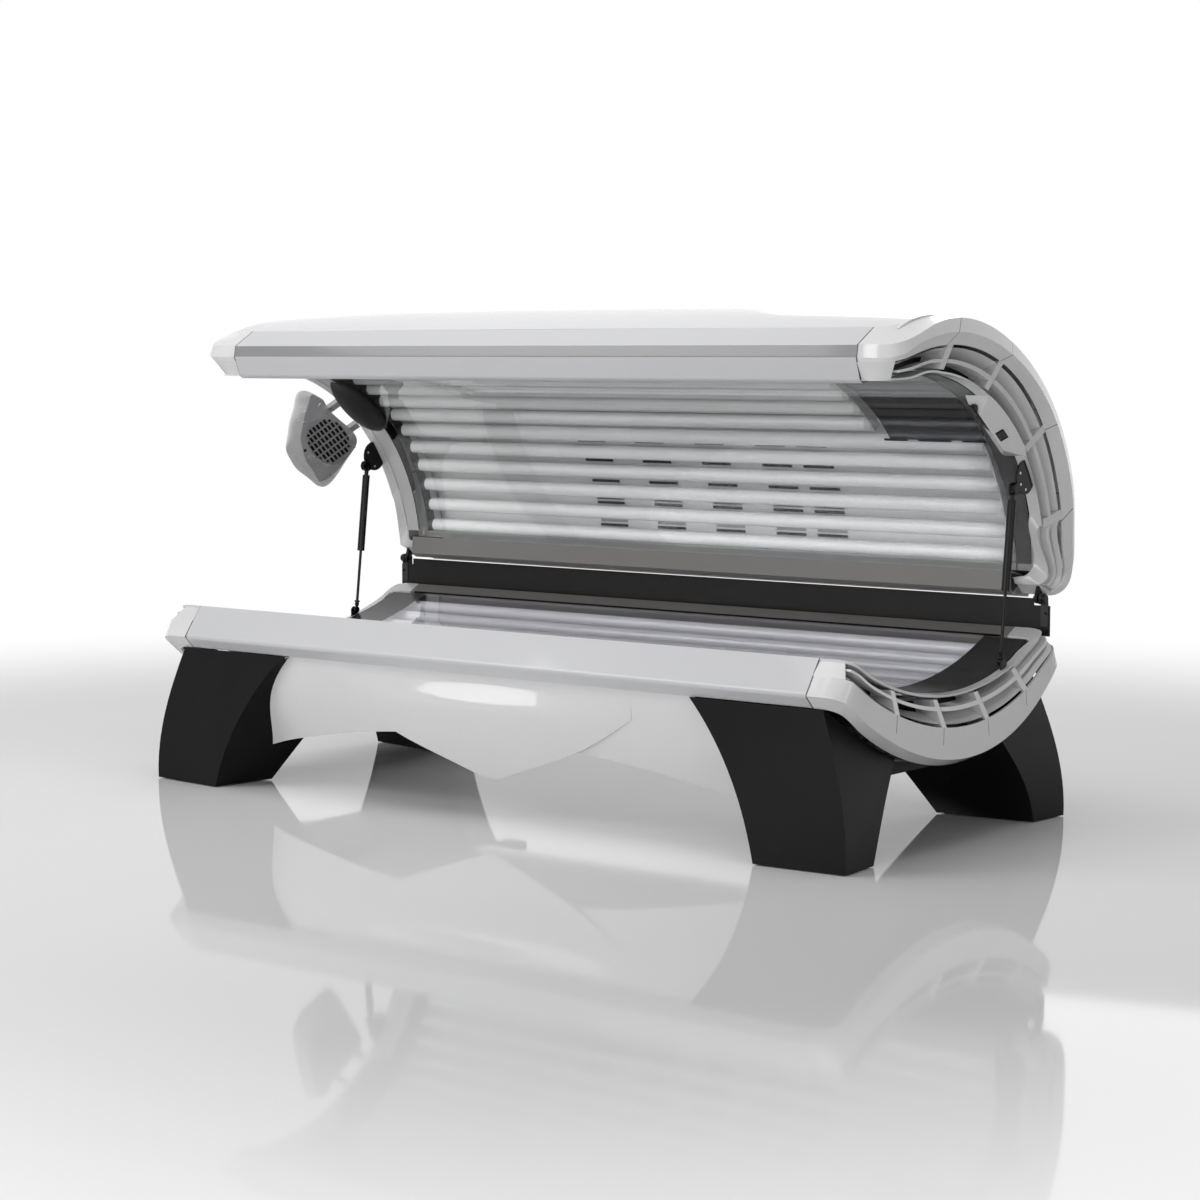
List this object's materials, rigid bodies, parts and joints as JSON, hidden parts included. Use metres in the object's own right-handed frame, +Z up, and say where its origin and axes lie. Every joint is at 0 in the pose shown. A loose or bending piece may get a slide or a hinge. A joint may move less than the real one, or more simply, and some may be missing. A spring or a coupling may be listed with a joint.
{
  "type": "clamshell tanning bed",
  "caption": "Clamshell tanning bed with an acrylic bench, a tunnel-shaped canopy on a rear hinge with gas struts, louvred end caps and a body fan.",
  "frame": {"origin": "centre of the floor rectangle under the whole object, canopy open", "axes": "+X towards the head end along the bed, +Y from the open front to the hinged back, +Z up from the floor"},
  "size_m": [2.4514, 1.0689, 1.2615],
  "materials": {
    "black_plastic": "satin moulded, fine grain",
    "glide_rubber": "matte",
    "frame_steel": "plain zinc grey",
    "white_gloss": "glossy moulded white",
    "pearl_rail": "pearl silver lacquer",
    "olive_rail": "warm grey lacquer",
    "dark_panel": "polished smoke grey",
    "clear_acrylic": "clear polished acrylic",
    "lamp_glass": "white phosphor behind glass",
    "lamp_sockets": "moulded",
    "reflector": "bright rolled sheet",
    "black_steel": "black powder coat",
    "bright_steel": "ground and polished",
    "strut_black": "black lacquer",
    "filter_glass": "dark violet filter glass",
    "grey_gloss": "silver grey lacquer",
    "grille_grey": "silver grey lacquer",
    "fan_black": "moulded",
    "key_dark": "soft touch"
  },
  "bodies": {
    "base": {"left_leg_arch": "black_plastic", "right_leg_arch": "black_plastic", "leg_glides": "glide_rubber", "base_frame": "frame_steel", "front_skirt": "white_gloss", "belly_pan": "white_gloss", "base_front_rail": "pearl_rail", "base_rear_rail": "olive_rail", "base_right_cap": "white_gloss", "base_left_cap": "white_gloss", "base_right_louvre": "white_gloss", "base_left_louvre": "white_gloss", "base_filters": "black_plastic", "base_end_panels": "dark_panel", "bench_acrylic": "clear_acrylic", "base_lamps": "lamp_glass", "base_lampholders": "lamp_sockets", "base_reflector": "reflector", "base_ballasts": "frame_steel", "base_fan_housing": "black_plastic", "power_inlet": "black_plastic", "rear_panel": "black_steel", "hinge_posts": "black_steel", "hinge_pins": "bright_steel", "strut_studs": "black_steel"},
    "canopy": {"canopy_shell": "white_gloss", "canopy_front_rail": "pearl_rail", "canopy_rear_rail": "olive_rail", "canopy_right_cap": "white_gloss", "canopy_left_cap": "white_gloss", "canopy_right_louvre": "white_gloss", "canopy_left_louvre": "white_gloss", "canopy_filters": "black_plastic", "canopy_end_panels": "dark_panel", "canopy_acrylic": "clear_acrylic", "canopy_lamps": "lamp_glass", "canopy_short_lamps": "lamp_glass", "canopy_lampholders": "lamp_sockets", "canopy_reflector": "reflector", "canopy_frame": "frame_steel", "canopy_ballasts": "frame_steel", "face_filter": "filter_glass", "face_lamps": "reflector", "hinge_arms": "black_steel", "strut_brackets": "black_plastic", "fan_pod": "grey_gloss", "fan_grille": "grille_grey", "fan_nozzle": "black_plastic", "control_pod": "white_gloss"},
    "right_rod": {"right_strut_rod": "bright_steel"},
    "right_cylinder": {"right_strut_cylinder": "strut_black"},
    "left_rod": {"left_strut_rod": "bright_steel"},
    "left_cylinder": {"left_strut_cylinder": "strut_black"},
    "base_fan": {"base_fan_rotor": "fan_black"},
    "pod_fan": {"pod_fan_rotor": "fan_black"},
    "key_1_body": {"key_1": "key_dark"},
    "key_2_body": {"key_2": "key_dark"},
    "key_3_body": {"key_3": "key_dark"},
    "key_4_body": {"key_4": "key_dark"},
    "start_key_body": {"start_key": "key_dark"}
  },
  "joints": [
    {"name": "canopy_hinge", "type": "hinge", "parent": "base", "child": "canopy", "pos_m": [0.086, 0.4289, 0.546], "axis": [1, 0, 0], "range_deg": [0, 37]},
    {"name": "right_strut_swing", "type": "hinge", "parent": "base", "child": "right_rod", "pos_m": [1.156, 0.2209, 0.407], "axis": [1, 0, 0], "range_deg": [0, 25]},
    {"name": "right_strut_stroke", "type": "slide", "parent": "right_rod", "child": "right_cylinder", "axis": [0, 0.1167, 0.9932], "range_m": [-0.142, 0]},
    {"name": "left_strut_swing", "type": "hinge", "parent": "base", "child": "left_rod", "pos_m": [-0.984, 0.2209, 0.407], "axis": [1, 0, 0], "range_deg": [0, 25]},
    {"name": "left_strut_stroke", "type": "slide", "parent": "left_rod", "child": "left_cylinder", "axis": [0, 0.1167, 0.9932], "range_m": [-0.142, 0]},
    {"name": "base_fan_spin", "type": "hinge", "parent": "base", "child": "base_fan", "pos_m": [0.086, -0.0231, 0.268], "axis": [0, 0, 1], "continuous": true},
    {"name": "pod_fan_spin", "type": "hinge", "parent": "canopy", "child": "pod_fan", "pos_m": [-1.09489, 0.21484, 0.90752], "axis": [0.7987, -0.4159, -0.4349], "continuous": true},
    {"name": "key_1_press", "type": "slide", "parent": "canopy", "child": "key_1_body", "axis": [0.4741, 0.5299, 0.7032], "range_m": [0, 0.001], "stiffness_N_per_m": 400, "springref_m": -0.0005},
    {"name": "key_2_press", "type": "slide", "parent": "canopy", "child": "key_2_body", "axis": [0.4741, 0.5299, 0.7032], "range_m": [0, 0.001], "stiffness_N_per_m": 400, "springref_m": -0.0005},
    {"name": "key_3_press", "type": "slide", "parent": "canopy", "child": "key_3_body", "axis": [0.4741, 0.5299, 0.7032], "range_m": [0, 0.001], "stiffness_N_per_m": 400, "springref_m": -0.0005},
    {"name": "key_4_press", "type": "slide", "parent": "canopy", "child": "key_4_body", "axis": [0.4741, 0.5299, 0.7032], "range_m": [0, 0.001], "stiffness_N_per_m": 400, "springref_m": -0.0005},
    {"name": "start_key_press", "type": "slide", "parent": "canopy", "child": "start_key_body", "axis": [-0.6402, 0.4623, 0.6135], "range_m": [0, 0.001], "stiffness_N_per_m": 400, "springref_m": -0.0005}
  ],
  "couplings": [
    {"joint": "right_strut_swing", "follows": "canopy_hinge", "ratio": 0.6681},
    {"joint": "right_strut_stroke", "follows": "canopy_hinge", "m_per_rad": -0.2182},
    {"joint": "left_strut_swing", "follows": "canopy_hinge", "ratio": 0.6681},
    {"joint": "left_strut_stroke", "follows": "canopy_hinge", "m_per_rad": -0.2182}
  ]
}
